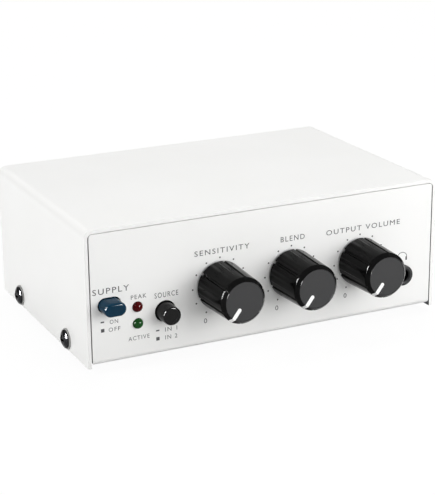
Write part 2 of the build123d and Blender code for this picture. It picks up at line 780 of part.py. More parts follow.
with BuildPart() as usb_core:
    with BuildSketch(facing_front(usb_mouth)):
        with Locations((usb_x, usb_z)):
            Rectangle(usb_width - 2 * (usb_shell + seat_fit), usb_height - 2 * (usb_shell + seat_fit))
    extrude(amount=usb_depth)
    with BuildSketch(facing_front(usb_mouth)) as port:
        with Locations((usb_x, usb_z)):
            Rectangle(usb_port_width, usb_port_height)
        chamfer(port.vertices().group_by(Axis.Y)[-1], usb_port_bevel)
        with Locations((usb_x, usb_z)):
            Rectangle(usb_tongue_width, usb_tongue_height, mode=Mode.SUBTRACT)
    extrude(amount=usb_port_depth, mode=Mode.SUBTRACT)
save(usb_core, "usb_insert")

# ================================================================ power inlet
with BuildPart() as inlet:
    with BuildSketch(facing_front(rear_inside)):
        with Locations((dc_x, board_top)):
            Rectangle(dc_width, dc_height, align=(Align.CENTER, Align.MIN))
    extrude(amount=dc_depth)
    with BuildSketch(facing_front(rear)):
        with Locations((dc_x, dc_z)):
            Circle(dc_collar_radius)
    extrude(amount=sheet)
    with BuildSketch(facing_front(rear)):
        with Locations((dc_x, dc_z)):
            Circle(dc_bore_radius)
    extrude(amount=dc_bore_depth, mode=Mode.SUBTRACT)
save(inlet, "power_inlet")

with BuildPart() as inlet_pin:
    with BuildSketch(facing_front(rear - dc_bore_depth)):
        with Locations((dc_x, dc_z)):
            Circle(dc_pin_radius)
    extrude(amount=dc_pin_recess - dc_bore_depth)
    fillet(inlet_pin.faces().sort_by(Axis.Y)[-1].edges(), dc_pin_edge)
save(inlet_pin, "power_inlet_pin")

# ================================================================ earth post
washer_start = rear + lock_nut + thumb_gap
thumb_start = washer_start + earth_washer + thumb_gap
post_tip = rear + rear_reach

with BuildPart() as post:
    with BuildSketch(facing_front(post_tip)):
        with Locations((earth_x, post_z)):
            Circle(post_radius)
    extrude(amount=post_tip - rear_inside)
    chamfer(post.faces().sort_by(Axis.Y)[-1].edges(), post_chamfer)
    with BuildSketch(facing_front(rear_inside)):
        with Locations((earth_x, post_z)):
            Circle(post_head_radius)
    extrude(amount=post_head)
save(post, "earth_post")

with BuildPart() as post_nut:
    with BuildSketch(facing_front(rear + lock_nut)):
        with Locations((earth_x, post_z)):
            RegularPolygon(lock_nut_flats / 2, 6, major_radius=False)
            Circle(post_radius + thread_fit, mode=Mode.SUBTRACT)
    extrude(amount=lock_nut)
save(post_nut, "earth_lock_nut")

with BuildPart() as post_washer:
    with BuildSketch(facing_front(washer_start + earth_washer)):
        with Locations((earth_x, post_z)):
            Circle(earth_washer_radius)
            Circle(post_radius + screw_fit, mode=Mode.SUBTRACT)
    extrude(amount=earth_washer)
save(post_washer, "earth_washer")

with BuildPart() as thumb_nut:
    with BuildSketch(facing_front(thumb_start + thumb_nut_length)):
        with Locations((earth_x, post_z)):
            Circle(thumb_nut_radius)
    extrude(amount=thumb_nut_length)
    chamfer(thumb_nut.edges(), thumb_edge)
    with BuildSketch(facing_front(thumb_start + thumb_nut_length)):
        with Locations((earth_x, post_z)):
            with PolarLocations(thumb_nut_radius, knurl_count):
                Circle(knurl_radius)
    extrude(amount=thumb_nut_length, mode=Mode.SUBTRACT)
    with BuildSketch(facing_front(thumb_start + thumb_nut_length + thumb_neck_length)):
        with Locations((earth_x, post_z)):
            Circle(thumb_neck_radius)
    extrude(amount=thumb_neck_length)
    with BuildSketch(facing_front(thumb_start + thumb_nut_length + thumb_neck_length)):
        with Locations((earth_x, post_z)):
            Circle(post_radius + running_fit)
    extrude(amount=thumb_nut_length + thumb_neck_length, mode=Mode.SUBTRACT)
save(thumb_nut, "earth_thumb_nut")

# ================================================================ board components
chip_x = chip_margin - board_width / 2
capacitor_x = board_width / 2 - capacitor_margin
with BuildPart() as capacitors:
    with BuildSketch(Plane.XY.offset(board_top)):
        with Locations((capacitor_x, middle)):
            with GridLocations(capacitor_pitch, capacitor_pitch, capacitor_columns, capacitor_rows):
                Circle(capacitor_radius)
    extrude(amount=capacitor_height)
    chamfer(capacitors.edges().group_by(Axis.Z)[-1], capacitor_edge)
save(capacitors, "capacitors")

with BuildPart() as chips:
    with BuildSketch(Plane.XY.offset(board_top)):
        with Locations((chip_x, middle)):
            with GridLocations(chip_pitch, chip_pitch, chip_count, 1):
                Rectangle(chip_width, chip_length)
    extrude(amount=chip_height)
    with BuildSketch(Plane.XY.offset(board_top + chip_height)):
        with Locations((chip_x, middle + chip_length / 2)):
            with GridLocations(chip_pitch, chip_pitch, chip_count, 1):
                Circle(chip_notch)
    extrude(amount=-chip_notch, mode=Mode.SUBTRACT)
save(chips, "amplifier_chips")

with BuildPart() as codec:
    with BuildSketch(Plane.XY.offset(board_top)):
        with Locations((codec_x, middle)):
            Rectangle(codec_width, codec_width)
    extrude(amount=codec_thickness)
save(codec, "converter_chip")

with BuildPart() as crystal:
    with BuildSketch(Plane.XY.offset(board_top)):
        with Locations((crystal_x, middle)):
            SlotOverall(crystal_length, crystal_width, rotation=90)
    extrude(amount=crystal_height)
    chamfer(crystal.edges().group_by(Axis.Z)[-1], crystal_edge)
save(crystal, "crystal")
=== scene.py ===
import bpy
import json
from math import cos, pi, radians, sin
from mathutils import Matrix, Vector

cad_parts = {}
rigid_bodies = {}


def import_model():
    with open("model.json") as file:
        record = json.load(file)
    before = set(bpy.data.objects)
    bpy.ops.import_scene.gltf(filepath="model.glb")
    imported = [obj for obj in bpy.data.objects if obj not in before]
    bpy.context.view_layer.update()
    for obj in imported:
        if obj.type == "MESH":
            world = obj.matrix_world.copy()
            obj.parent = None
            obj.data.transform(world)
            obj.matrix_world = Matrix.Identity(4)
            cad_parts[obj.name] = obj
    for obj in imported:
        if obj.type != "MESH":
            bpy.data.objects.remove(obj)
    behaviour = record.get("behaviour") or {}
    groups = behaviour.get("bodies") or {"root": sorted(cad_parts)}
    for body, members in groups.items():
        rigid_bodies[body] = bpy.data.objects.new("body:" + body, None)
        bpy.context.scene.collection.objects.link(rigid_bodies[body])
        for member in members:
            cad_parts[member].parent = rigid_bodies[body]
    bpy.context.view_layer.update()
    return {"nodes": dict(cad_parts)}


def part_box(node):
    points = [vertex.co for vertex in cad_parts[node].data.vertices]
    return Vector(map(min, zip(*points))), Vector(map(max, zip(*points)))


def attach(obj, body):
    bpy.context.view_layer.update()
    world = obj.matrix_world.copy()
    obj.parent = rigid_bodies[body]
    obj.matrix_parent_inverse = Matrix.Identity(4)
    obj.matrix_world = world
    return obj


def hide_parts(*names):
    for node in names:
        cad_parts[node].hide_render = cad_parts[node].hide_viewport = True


# Desktop phono preamplifier: a white folded steel case with three knobs, two push buttons,
# two lamps and a headphone socket in front, and cable sockets and an earth post behind.
# X runs to the right seen from the front, Y to the rear, Z up. Sizes are written in
# millimetres, and MM turns them to metres.
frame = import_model()
bpy.ops.object.select_all(action="DESELECT")
MM = 0.001


def span(node):
    """Lowest and highest corner of a piece of the frame, in millimetres."""
    low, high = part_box(node)
    return low / MM, high / MM


def middle_of(node):
    """Middle of a piece of the frame, in millimetres."""
    low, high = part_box(node)
    return (low + high) / 2 / MM


# The folded tray is what everything else is measured from.
tray_low, tray_high = span("chassis_tray")
front = tray_low.y
rear = tray_high.y
floor_under = tray_low.z
panel_right = tray_high.x

# ---------------------------------------------------------------- camera
# A long lens, left of the case and above it. Its distance is measured from the front
# panel, and its turn, its tilt downwards and its roll are in degrees.
camera_spot = (-187.5, front - 360.95, 163.5)
camera_turn, camera_tilt, camera_roll = -25.44, 18.41, -0.61
bpy.ops.object.camera_add()
camera = bpy.context.object
camera.name = "camera"
camera.data.sensor_width = 36
camera.data.lens = 112.2
camera.data.clip_start = 0.01
camera.matrix_world = (Matrix.Translation(Vector(camera_spot) * MM)
                       @ Matrix.Rotation(radians(camera_turn), 4, "Z")
                       @ Matrix.Rotation(radians(90 - camera_tilt), 4, "X")
                       @ Matrix.Rotation(radians(camera_roll), 4, "Z"))
bpy.context.scene.camera = camera
bpy.context.scene.view_settings.view_transform = "Standard"


# ---------------------------------------------------------------- studio
# A white table in a white room. Five soft lamps stand round the case: above it, at both
# sides, in front and behind. They are written in metres, as the room is.
def linear(code):
    """Turns an sRGB hex colour into the linear values that a socket takes."""
    parts = [int(code[place:place + 2], 16) / 255 for place in (0, 2, 4)]
    return tuple(part / 12.92 if part <= 0.04045 else ((part + 0.055) / 1.055) ** 2.4
                 for part in parts) + (1.0,)


def add_node(tree, kind, settings, feeds=None):
    """Adds a node with its settings. A setting that is a socket is linked, and feeds takes its output."""
    node = tree.nodes.new(kind)
    for name, value in settings.items():
        if isinstance(name, str) and name not in node.inputs:
            setattr(node, name, value)
    for name, value in settings.items():
        if isinstance(name, int) or name in node.inputs:
            if isinstance(value, bpy.types.NodeSocket):
                tree.links.new(value, node.inputs[name])
            else:
                node.inputs[name].default_value = value
    if feeds:
        tree.links.new(node.outputs[0], feeds)
    return node


def new_finish(name):
    """Starts a material: its node tree, the socket of its surface, and the place on the object."""
    finish = bpy.data.materials.new(name)
    finish.use_nodes = True
    tree = finish.node_tree
    tree.nodes.clear()
    surface = add_node(tree, "ShaderNodeOutputMaterial", {}).inputs["Surface"]
    place = add_node(tree, "ShaderNodeTexCoord", {}).outputs["Object"]
    return finish, tree, surface, place


# Matt backdrop paper. It shows no gloss, and runs into the white room behind it.
bpy.ops.mesh.primitive_plane_add(size=3.4, location=(0, 0, -0.01 * MM))
table = bpy.context.object
table.name = "table"
table_paper, tree, surface, place = new_finish("white_paper")
ray = add_node(tree, "ShaderNodeLightPath", {})
tone = add_node(tree, "ShaderNodeMix",
                {"data_type": "RGBA", 0: ray.outputs["Is Diffuse Ray"],
                 6: linear("ffffff"), 7: linear("a8a8a8")})
paper = add_node(tree, "ShaderNodeBsdfDiffuse", {"Color": tone.outputs[2]})
glow = add_node(tree, "ShaderNodeEmission", {"Color": linear("ffffff"), "Strength": 1.0})
seen = add_node(tree, "ShaderNodeMath",
                {"operation": "MULTIPLY", 0: ray.outputs["Is Camera Ray"], 1: 0.95})
add_node(tree, "ShaderNodeMixShader",
         {0: seen.outputs[0], 1: paper.outputs[0], 2: glow.outputs[0]}, surface)
table.data.materials.append(table_paper)

# The room is white to the eye and through clear things. In gloss it is dim near the floor
# and brighter overhead, and as plain light it is weak, because the lamps do the lighting.
room = bpy.data.worlds.new("white_room")
bpy.context.scene.world = room
room.use_nodes = True
tree = room.node_tree
tree.nodes.clear()
ray = add_node(tree, "ShaderNodeLightPath", {})
looking = add_node(tree, "ShaderNodeTexCoord", {})
sides = add_node(tree, "ShaderNodeSeparateXYZ", {0: looking.outputs["Generated"]})
height = add_node(tree, "ShaderNodeMapRange",
                  {"Value": sides.outputs["Z"], "From Min": 0.05, "From Max": 0.75,
                   "To Min": 0.1, "To Max": 0.7})
seen = add_node(tree, "ShaderNodeMath",
                {"operation": "MAXIMUM", 0: ray.outputs["Is Camera Ray"],
                 1: ray.outputs["Is Transmission Ray"]})
fill = add_node(tree, "ShaderNodeMix",
                {"data_type": "FLOAT", 0: ray.outputs["Is Glossy Ray"], 2: 0.19, 3: height.outputs[0]})
bright = add_node(tree, "ShaderNodeMix",
                  {"data_type": "FLOAT", 0: seen.outputs[0], 2: fill.outputs[0], 3: 1.0})
add_node(tree, "ShaderNodeBackground", {"Color": linear("ffffff"), "Strength": bright.outputs[0]},
         add_node(tree, "ShaderNodeOutputWorld", {}).inputs["Surface"])


def add_lamp(name, spot, width, height, watts, shows=False):
    """Adds a soft lamp that faces the case. It lights the surfaces, or only shows in the glossy ones."""
    bpy.ops.object.light_add(type="AREA", location=spot)
    lamp = bpy.context.object
    lamp.name = name
    lamp.data.shape = "RECTANGLE"
    lamp.data.size = width
    lamp.data.size_y = height
    lamp.data.energy = watts
    lamp.visible_camera = False
    lamp.visible_diffuse = not shows
    lamp.visible_glossy = shows
    lamp.rotation_euler = (Vector((0, 0, 0.02)) - Vector(spot)).to_track_quat("-Z", "Y").to_euler()
    return lamp


add_lamp("lamp_overhead", (0.28, 0.15, 0.72), 0.60, 0.60, 3.25)
add_lamp("lamp_left", (-1.00, 0.02, 0.40), 0.20, 0.75, 8.3)
add_lamp("lamp_right", (0.31, -0.38, 0.16), 0.56, 0.32, 1.36)
add_lamp("lamp_front", (0.10, -0.40, 0.16), 0.60, 0.28, 0.95)
add_lamp("lamp_rear", (0.30, 1.05, 0.26), 0.60, 0.40, 4.4)

# ---------------------------------------------------------------- tray
# Front panel, floor and rear panel are one strip of 1 mm steel, folded up at both ends,
# with a flange folded up along each side of the floor. Punched, folded, then powder
# coated white. The powder builds up the panels' upper edges a little.
sheet = 1.0
fold_bend = 1.4
panel_corner = 0.9
relief = 1.3
flange_height = 8.6
edge_paint = 0.12
# A cutter reaches this far beyond what it cuts.
beyond = 1.0

# Powder coat is thick and even: soft edges, half glossy, with an orange peel that only
# shows where light grazes it, and a tone that wanders a little from place to place.
powder_coat, tree, surface, place = new_finish("powder_coat_white")
peel = add_node(tree, "ShaderNodeTexNoise", {"Vector": place, "Scale": 1 / (1.6 * MM), "Detail": 1.0})
peel_bump = add_node(tree, "ShaderNodeBump",
                     {"Height": peel.outputs[0], "Strength": 0.25, "Distance": 0.012 * MM})
cloud = add_node(tree, "ShaderNodeTexNoise", {"Vector": place, "Scale": 1 / (30 * MM), "Detail": 2.0})
cloud_tone = add_node(tree, "ShaderNodeMix",
                      {"data_type": "RGBA", 0: cloud.outputs[0], 6: linear("eeeeec"), 7: linear("f3f3f2")})
add_node(tree, "ShaderNodeBsdfPrincipled",
         {"Base Color": cloud_tone.outputs[2], "Roughness": 0.28, "IOR": 1.5, "Specular IOR Level": 0.3,
          "Normal": peel_bump.outputs[0]}, surface)


def only(piece):
    """Selects one piece and nothing else."""
    bpy.ops.object.select_all(action="DESELECT")
    piece.select_set(True)
    bpy.context.view_layer.objects.active = piece


def settle(name):
    """Names the active piece and puts its place into its mesh."""
    piece = bpy.context.object
    only(piece)
    piece.name = name
    piece.data.name = name
    bpy.ops.object.transform_apply(location=True, rotation=True, scale=True)
    return piece


def move(piece, name, spot, facing=(0, 0, 0)):
    """Turns a finished shape and moves it to its place."""
    only(piece)
    piece.rotation_euler = facing
    piece.location = Vector(spot) * MM
    return settle(name)


def coat(piece, *finishes):
    """Gives a piece its finishes, in place of those that it has."""
    piece.data.materials.clear()
    for finish in finishes:
        piece.data.materials.append(finish)


def block(name, low, high):
    """A block between two corners, to be shaped further."""
    low, high = Vector(low), Vector(high)
    bpy.ops.mesh.primitive_cube_add(size=1, location=(low + high) / 2 * MM, scale=(high - low) * MM)
    return settle(name)


def pick(piece, what, test):
    """Goes into edit mode with the faces or edges selected whose middle and direction pass the test."""
    only(piece)
    bpy.ops.object.mode_set(mode="EDIT")
    bpy.ops.mesh.select_mode(type=what)
    bpy.ops.mesh.select_all(action="DESELECT")
    bpy.ops.object.mode_set(mode="OBJECT")
    mesh = piece.data
    for face in mesh.polygons if what == "FACE" else ():
        face.select = test(face.center / MM, face.normal)
    for edge in mesh.edges if what == "EDGE" else ():
        start, end = (mesh.vertices[corner].co / MM for corner in edge.vertices)
        edge.select = test((start + end) / 2, (end - start).normalized())
    bpy.ops.object.mode_set(mode="EDIT")


def round_edges(piece, radius, segments, test):
    """Rounds the edges that pass the test."""
    pick(piece, "EDGE", test)
    bpy.ops.mesh.bevel(offset=radius * MM, segments=segments, affect="EDGES")
    bpy.ops.object.mode_set(mode="OBJECT")


def take_faces(piece, test):
    """Takes the faces away that pass the test, so that the piece is an open shell."""
    pick(piece, "FACE", test)
    bpy.ops.mesh.delete(type="FACE")
    bpy.ops.object.mode_set(mode="OBJECT")


def modify(piece, kind, **settings):
    """Adds a modifier and applies it."""
    only(piece)
    change = piece.modifiers.new(kind.lower(), kind)
    for name, value in settings.items():
        setattr(change, name, value)
    bpy.ops.object.modifier_apply(modifier=change.name)


def combine(piece, other, how):
    """Joins, cuts or trims a piece with another one, which goes."""
    modify(piece, "BOOLEAN", object=other, operation=how, solver="EXACT")
    bpy.data.objects.remove(other)


def drill(piece, radius, spot, along, depth, sides=64):
    """Bores a round hole along an axis."""
    facing = {"X": (0, pi / 2, 0), "Y": (pi / 2, 0, 0), "Z": (0, 0, 0)}[along]
    bpy.ops.mesh.primitive_cylinder_add(vertices=sides, radius=radius * MM, depth=depth * MM,
                                        location=Vector(spot) * MM, rotation=facing)
    combine(piece, settle("drill"), "DIFFERENCE")


def soften(piece, radius, angle=35, segments=2):
    """Rounds the sharp edges as paint, dies and moulds leave them, and shades the faces evenly.
    Leftover lines on flat faces go first, and a face with many corners keeps its one direction."""
    only(piece)
    bpy.ops.object.mode_set(mode="EDIT")
    bpy.ops.mesh.select_all(action="SELECT")
    bpy.ops.mesh.dissolve_limited(angle_limit=radians(0.3))
    bpy.ops.object.mode_set(mode="OBJECT")
    modify(piece, "BEVEL", width=radius * MM, segments=segments, limit_method="ANGLE",
           angle_limit=radians(angle), use_clamp_overlap=True)
    bpy.ops.object.shade_smooth_by_angle(angle=radians(angle))
    for face in piece.data.polygons:
        face.use_smooth = len(face.vertices) <= 8
    modify(piece, "WEIGHTED_NORMAL", keep_sharp=True)


def folded(name, low, high, radius, segments, folds, open_sides):
    """A folded sheet: a block with its folds rounded and its open sides gone, given its thickness."""
    piece = block(name, low, high)
    round_edges(piece, radius, segments, folds)
    take_faces(piece, open_sides)
    modify(piece, "SOLIDIFY", thickness=sheet * MM, offset=-1)
    return piece


tray_half_height = middle_of("chassis_tray").z
tray = folded("tray", tray_low, tray_high + Vector((0, 0, edge_paint)), fold_bend, 6,
              lambda middle, run: abs(run.x) > 0.9 and middle.z < tray_half_height,
              lambda middle, normal: normal.z > 0.9 or abs(normal.x) > 0.9)
outline = block("outline", tray_low - Vector((0, beyond, 0)), tray_high + Vector((0, beyond, edge_paint)))
round_edges(outline, panel_corner, 5, lambda middle, run: abs(run.y) > 0.9)
combine(tray, outline, "INTERSECT")
for side in (-1, 1):
    inner = side * (panel_right - fold_bend - relief)
    outer = side * (panel_right + beyond)
    combine(tray, block("notch", (min(inner, outer), front + sheet, floor_under - beyond),
                        (max(inner, outer), rear - sheet, floor_under + 1.5 * sheet)), "DIFFERENCE")
flanges = folded("flanges", (-panel_right, front + sheet + relief, floor_under),
                 (panel_right, rear - sheet - relief, floor_under + flange_height), fold_bend, 6,
                 lambda middle, run: abs(run.y) > 0.9 and middle.z < floor_under + sheet,
                 lambda middle, normal: normal.z > 0.9 or abs(normal.y) > 0.9)
combine(tray, flanges, "UNION")


def panel_place(node):
    """Where the middle of a piece of the frame stands on its panel, across and up, in millimetres."""
    middle = middle_of(node)
    return middle.x, middle.z


# Cut-outs for the controls, the sockets, the post and the screws. The holes are given by
# their radius, and their places come from the pieces that go through them.
shaft_hole, cap_hole, collar_hole, lens_hole = 3.55, 3.1, 3.1, 1.55
barrel_hole, inlet_hole, post_hole = 4.45, 4.4, 2.2
screw_hole, standoff_hole = 1.55, 2.05
barrel_radius, washer_radius, board_screw_radius = 4.15, 3.0, 2.65
socket_top_above_bore = 2.6
knob_names = ("input", "mix", "output")
knob_places = [(panel_place("knob_" + name)[0], panel_place("pot_shaft_" + name)[1])
               for name in knob_names]
power_place = panel_place("power_button")
selector_place = panel_place("selector_button")
lamp_places = [panel_place("signal_lamp"), panel_place("peak_lamp")]
phones_low, phones_high = span("headphone_socket")
phones_place = (panel_place("headphone_socket")[0], phones_high.z - socket_top_above_bore)
shells_low, shells_high = span("rca_shells")
phono_places = [(x, z) for x in (shells_high.x - barrel_radius, shells_low.x + barrel_radius)
                for z in (shells_low.z + barrel_radius, shells_high.z - barrel_radius)]
usb_x, usb_z = panel_place("usb_shell")
inlet_place = panel_place("power_inlet_pin")
post_place = panel_place("earth_post")
for (x, z), radius, y in ([(spot, shaft_hole, front) for spot in knob_places]
                          + [(selector_place, cap_hole, front), (phones_place, collar_hole, front)]
                          + [(spot, lens_hole, front) for spot in lamp_places]
                          + [(spot, barrel_hole, rear) for spot in phono_places]
                          + [(inlet_place, inlet_hole, rear), (post_place, post_hole, rear)]):
    drill(tray, radius, (x, y, z), "Y", 4 * sheet)


def pill(name, width, height, low, high):
    """A block with half-round ends, lying across the panel, to be shaped further."""
    corners = 64
    bpy.ops.mesh.primitive_cylinder_add(vertices=corners, radius=height / 2 * MM, depth=(high - low) * MM,
                                        location=(0, (low + high) / 2 * MM, 0),
                                        rotation=(pi / 2, radians(180 / corners), 0))
    piece = settle(name)
    for side in (-1, 1):
        pick(piece, "EDGE", lambda middle, run: side * middle.x > 0.1)
        bpy.ops.transform.translate(value=(side * (width - height) / 2 * MM, 0, 0))
        bpy.ops.object.mode_set(mode="OBJECT")
    return piece


power_hole_width, power_hole_height = 6.8, 4.4
power_hole = pill("power_hole", power_hole_width, power_hole_height, front - 2 * sheet, front + 2 * sheet)
power_hole = move(power_hole, "power_hole", (power_place[0], 0, power_place[1]))
combine(tray, power_hole, "DIFFERENCE")
usb_half_width, usb_half_height = 6.3, 5.75
usb_hole = block("usb_hole", (usb_x - usb_half_width, rear - 2 * sheet, usb_z - usb_half_height),
                 (usb_x + usb_half_width, rear + 2 * sheet, usb_z + usb_half_height))
combine(tray, usb_hole, "DIFFERENCE")
washers_low, washers_high = span("cover_washers")
screw_ys = (washers_low.y + washer_radius, washers_high.y - washer_radius)
screw_z = middle_of("cover_washers").z
for y in screw_ys:
    for side in (-1, 1):
        drill(tray, screw_hole, (side * (panel_right - sheet), y, screw_z), "X", 3 * sheet)
heads_low, heads_high = span("board_screws")
for x in (heads_low.x + board_screw_radius, heads_high.x - board_screw_radius):
    for y in (heads_low.y + board_screw_radius, heads_high.y - board_screw_radius):
        drill(tray, standoff_hole, (x, y, floor_under), "Z", 3 * sheet)
soften(tray, 0.07)
coat(tray, powder_coat)
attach(tray, "chassis")
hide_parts("chassis_tray")


# ---------------------------------------------------------------- cover
# One sheet of 1 mm steel folded down at both sides with a wider bend, coated with the
# tray. Its cut front and rear edges stand flush with the panels, a thin gap outside them.
# Too little powder gets in between the sides and the flanges, where the steel stays bare; its grey is also
# painted shade, set dark so that the thin gap beside the panel reads as a dark line.
def metal_finish(name, colour, patch, smoothest, roughest, detail=3.0):
    """A metal whose shine varies over patches, which are given by their width in millimetres."""
    finish, tree, surface, place = new_finish(name)
    patches = add_node(tree, "ShaderNodeTexNoise",
                       {"Vector": place, "Scale": 1 / (patch * MM), "Detail": detail})
    rough = add_node(tree, "ShaderNodeMapRange",
                     {"Value": patches.outputs[0], "To Min": smoothest, "To Max": roughest})
    add_node(tree, "ShaderNodeBsdfPrincipled",
             {"Base Color": linear(colour), "Metallic": 1.0, "Roughness": rough.outputs[0]}, surface)
    return finish


# Steel as it comes off the roll: grey and dull. Its dark tone is partly painted shade for the gaps beside the
# panel.
bare_steel_and_gap_shade = metal_finish("bare_cold_rolled_steel", "77787b", patch=4.0, smoothest=0.45, roughest=0.6)

cover_bend = 2.4
cover_screw_hole = 1.7
cover_low, cover_high = span("top_cover")
cover_half_height = middle_of("top_cover").z
cover_side = cover_high.x
cover = folded("cover", cover_low, cover_high, cover_bend, 10,
               lambda middle, run: abs(run.y) > 0.9 and middle.z > cover_half_height,
               lambda middle, normal: normal.z < -0.9 or abs(normal.y) > 0.9)
for y in screw_ys:
    for side in (-1, 1):
        drill(cover, cover_screw_hole, (side * (cover_side - sheet / 2), y, screw_z), "X", 3 * sheet)
soften(cover, 0.12)
coat(cover, powder_coat, bare_steel_and_gap_shade)
# The inner faces of the sides take the grey steel, as painted shade for the gap lines; the underside of the
# top stays white.
for face in cover.data.polygons:
    inwards = -face.normal.x * face.center.x
    face.material_index = int(inwards > 0.7 * abs(face.center.x))
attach(cover, "chassis")
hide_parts("top_cover")


# ---------------------------------------------------------------- cover screws and washers
# Four M3 pan head screws with a cross recess, cold headed and plated in black nickel,
# each over a nylon washer that spares the paint.
def turn(name, outline, segments=96):
    """A turned piece on the Z axis: a ring is drawn out to each (radius, height) of its outline in turn.
    A radius of 0.001 closes a pole, and an outline that ends where it starts makes a ring."""
    radius, height = outline[0]
    bpy.ops.mesh.primitive_circle_add(vertices=segments, radius=radius * MM, fill_type="NOTHING",
                                      location=(0, 0, height * MM))
    bpy.ops.object.mode_set(mode="EDIT")
    bpy.ops.mesh.select_mode(type="EDGE")
    bpy.ops.mesh.select_all(action="SELECT")
    for (start, low), (end, high) in zip(outline, outline[1:]):
        bpy.ops.mesh.extrude_region_move(TRANSFORM_OT_translate={"value": (0, 0, (high - low) * MM)})
        bpy.ops.transform.resize(value=(end / start, end / start, 1), center_override=(0, 0, high * MM))
    bpy.ops.mesh.select_all(action="SELECT")
    bpy.ops.mesh.remove_doubles(threshold=0.01 * MM)
    bpy.ops.mesh.normals_make_consistent(inside=False)
    bpy.ops.object.mode_set(mode="OBJECT")
    return settle(name)


def bend(middle, radius, start, end, steps):
    """Points of an outline along a round stretch, between two angles in degrees."""
    angles = [radians(start + (end - start) * step / steps) for step in range(steps + 1)]
    return [(middle[0] + radius * cos(angle), middle[1] + radius * sin(angle)) for angle in angles]


def put(piece, name, spot, facing=(0, 0, 0)):
    """Puts a copy of a finished shape, with a mesh of its own, in its place."""
    only(piece)
    bpy.ops.object.duplicate(linked=False)
    return move(bpy.context.object, name, spot, facing)


def moulded_finish(name, colour, settings, grain, depth, strength, detail=2.0):
    """A finish in one colour whose skin has a grain, given by its width and depth in millimetres."""
    finish, tree, surface, place = new_finish(name)
    skin = add_node(tree, "ShaderNodeTexNoise",
                    {"Vector": place, "Scale": 1 / (grain * MM), "Detail": detail})
    bump = add_node(tree, "ShaderNodeBump",
                    {"Height": skin.outputs[0], "Strength": strength, "Distance": depth * MM})
    add_node(tree, "ShaderNodeBsdfPrincipled",
             {"Base Color": linear(colour), "Normal": bump.outputs[0], **settings}, surface)
    return finish


# Black nickel over bright nickel: a dark mirror that shows hard blacks and whites side by side.
black_nickel = metal_finish("bright_black_nickel_plate", "323234", patch=0.5, smoothest=0.06, roughest=0.16)

# Undyed nylon, punched from sheet: light grey, waxy and half matt.
nylon = moulded_finish("natural_nylon", "9c9c9a", {"Roughness": 0.38, "IOR": 1.53},
                       grain=0.4, depth=0.02, strength=0.2)

washer_thickness = 0.4
recess_length, recess_width, recess_depth = 3.3, 0.8, 1.3
recess_middle = 0.95
recess_taper = 0.55
pan_head = turn("pan_head", [(0.001, -4.6), (1.25, -4.6), (1.5, -4.3), (1.5, 0), (2.5, 0), (2.65, 0.12)]
                + bend((0, -3.0), 4.35, 52.5, 89, 10) + [(0.001, 1.35)], 64)
for quarter in (0, 1):
    bpy.ops.mesh.primitive_cube_add(size=1, location=(0, 0, recess_middle * MM),
                                    scale=(recess_length * MM, recess_width * MM, recess_depth * MM),
                                    rotation=(0, 0, quarter * pi / 2))
    wing = settle("wing")
    pick(wing, "FACE", lambda middle, normal: normal.z < -0.9)
    bpy.ops.transform.resize(value=(recess_taper, recess_taper, 1))
    bpy.ops.object.mode_set(mode="OBJECT")
    combine(pan_head, wing, "DIFFERENCE")
soften(pan_head, 0.04, 30)
coat(pan_head, black_nickel)

flat_washer = turn("flat_washer", [(1.7, 0), (washer_radius, 0), (washer_radius, washer_thickness),
                                   (1.7, washer_thickness), (1.7, 0)], 64)
soften(flat_washer, 0.06, 30)
coat(flat_washer, nylon)

for side, word in ((-1, "left"), (1, "right")):
    for y, place_word in zip(screw_ys, ("front", "rear")):
        outwards = (0, side * pi / 2, 0)
        washer = put(flat_washer, f"cover_washer_{word}_{place_word}",
                     (side * cover_side, y, screw_z), outwards)
        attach(washer, "chassis")
        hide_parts("cover_washers")
        screw = put(pan_head, f"cover_screw_{word}_{place_word}",
                    (side * (cover_side + washer_thickness), y, screw_z), outwards)
        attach(screw, "chassis")
        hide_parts("cover_screws")
bpy.data.objects.remove(pan_head)
bpy.data.objects.remove(flat_washer)

# ---------------------------------------------------------------- feet
# Four moulded discs of black rubber, a little hollow underneath. They are stuck under
# the floor and keep it off the table.

# Rubber filled with carbon: matt and dark, its skin a little rough to the eye.
rubber = moulded_finish("black_rubber", "1e1e1f", {"Roughness": 0.75, "Specular IOR Level": 0.3},
                        grain=0.3, depth=0.05, strength=0.4, detail=4.0)
foot_radius = 4.0
foot_height = 2.5
disc = turn("disc", [(0.001, 0.25), (2.2, 0.25), (2.6, 0), (3.3, 0), (3.75, 0.2), (foot_radius, 0.6),
                     (foot_radius, foot_height), (0.001, foot_height)], 64)
soften(disc, 0.1, 30)
coat(disc, rubber)
feet_low, feet_high = span("rubber_feet")
foot_places = [(x, y) for x in (feet_low.x + foot_radius, feet_high.x - foot_radius)
               for y in (feet_low.y + foot_radius, feet_high.y - foot_radius)]
for number, (x, y) in enumerate(foot_places):
    foot = put(disc, f"rubber_foot_{number + 1}", (x, y, 0))
    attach(foot, "chassis")
    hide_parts("rubber_feet")
bpy.data.objects.remove(disc)

# ---------------------------------------------------------------- knobs
# Moulded in black ABS, polished on the side and the bevelled shoulder, with a fine matt
# grain on the recessed face. Six finger grooves run down the side, and a white pointer
# is let into the face and the shoulder. Hollow behind, over the nut that holds the shaft.
OUT_OF_FRONT = (pi / 2, 0, 0)
knob_radius = 6.6
skirt_radius = 7.1
knob_gap = 0.4
knob_end = 15.5
face_radius = 5.6
face_depth = 0.06
hub_start, hub_end = 4.5, 13.3
hub_radius = 4.1
bore_radius = 3.05
bore_flat = 1.52
hollow_radius = 5.6
rib_half_width = 0.45
groove_radius = 0.42
pointer_radius = 0.55
pointer_start = 2.7
slot_floor = knob_end - 1.2
pointer_turn = 143

# Black ABS from a polished mould: nearly black, with sharp lamps in it and a faint swirl.
gloss_black = moulded_finish("polished_black_abs", "0c0c0c",
                             {"Roughness": 0.12, "IOR": 1.45, "Specular IOR Level": 0.05},
                             grain=2.5, depth=0.02, strength=0.15)

